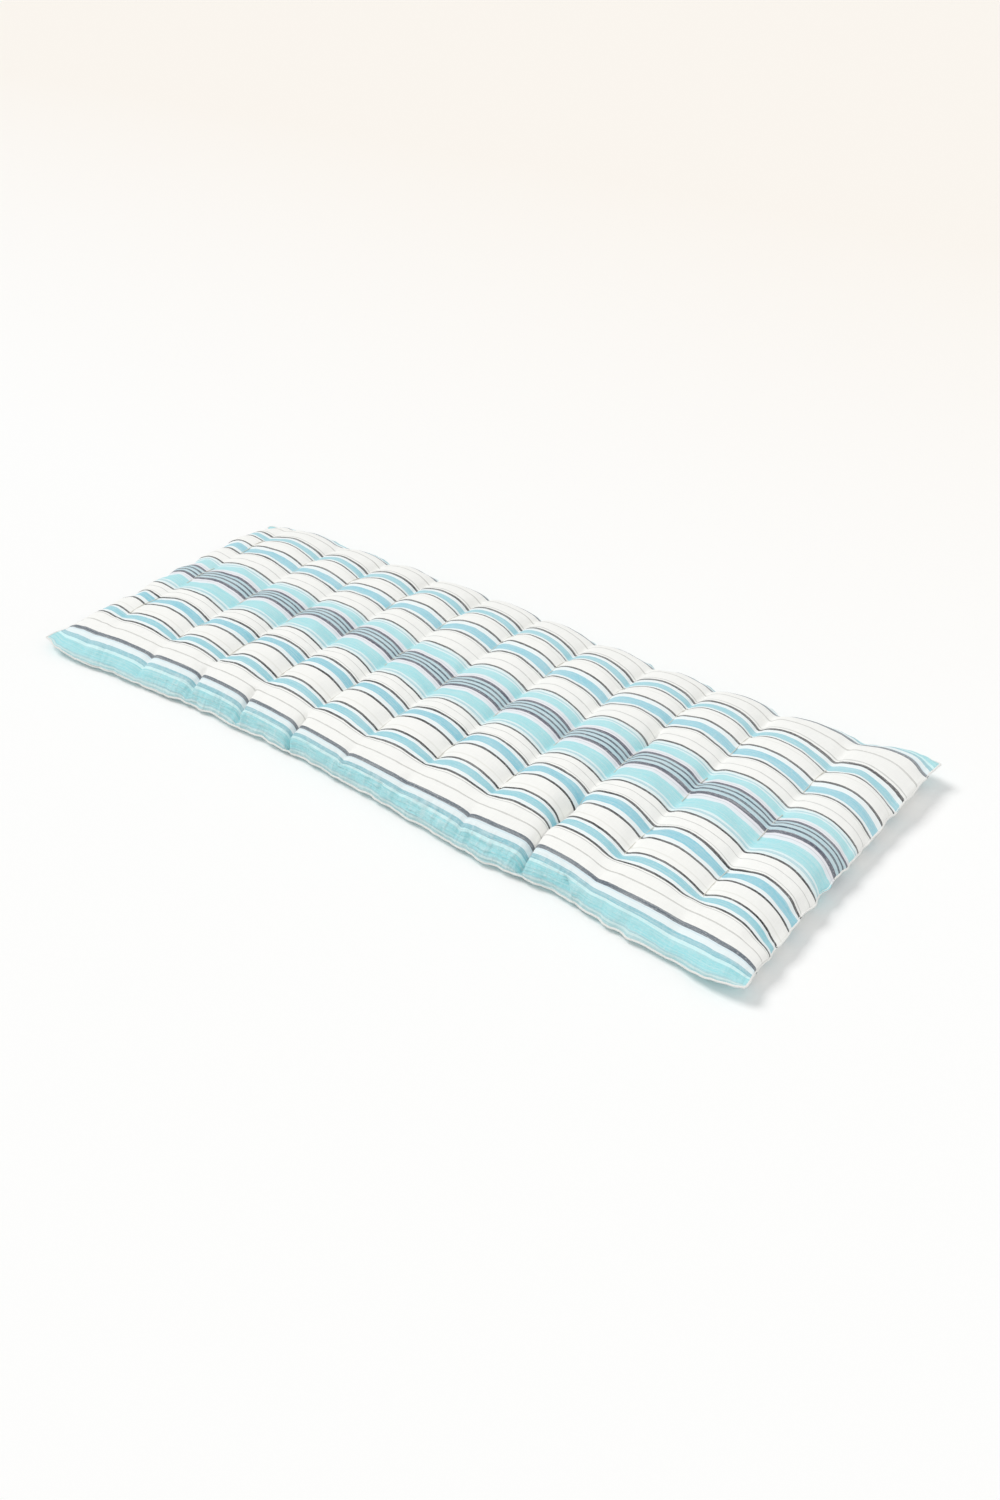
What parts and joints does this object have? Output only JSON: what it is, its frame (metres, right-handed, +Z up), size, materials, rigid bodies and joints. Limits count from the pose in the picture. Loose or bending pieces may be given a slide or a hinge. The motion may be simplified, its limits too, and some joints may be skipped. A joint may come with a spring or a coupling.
{
  "type": "futon mattress",
  "caption": "Long flat tufted futon pad in a striped cotton cover, with felt filling pulled into pillows by running twines across its width.",
  "frame": {"origin": "centre of the footprint, on the floor under the mattress", "axes": "+X along the length, +Y across the width, +Z up out of the sleeping face"},
  "size_m": [1.8, 0.73, 0.088],
  "materials": {
    "cover_cloth": "matt woven slub cotton, yarn-dyed lengthwise stripes in white, aqua, blue and navy",
    "cotton_felt": "undyed felted cotton batt",
    "seam_thread": "white sewing cotton, oversewn edge",
    "tufting_twine": "twisted off-white cotton twine"
  },
  "bodies": {
    "root": {"bottom_cover": "cover_cloth", "lower_batt": "cotton_felt", "upper_batt": "cotton_felt", "top_cover": "cover_cloth", "edge_seam": "seam_thread", "tufting_twine_01": "tufting_twine", "tufting_twine_02": "tufting_twine", "tufting_twine_03": "tufting_twine", "tufting_twine_04": "tufting_twine", "tufting_twine_05": "tufting_twine", "tufting_twine_06": "tufting_twine", "tufting_twine_07": "tufting_twine", "tufting_twine_08": "tufting_twine", "tufting_twine_09": "tufting_twine", "tufting_twine_10": "tufting_twine", "tufting_twine_11": "tufting_twine"}
  },
  "joints": []
}
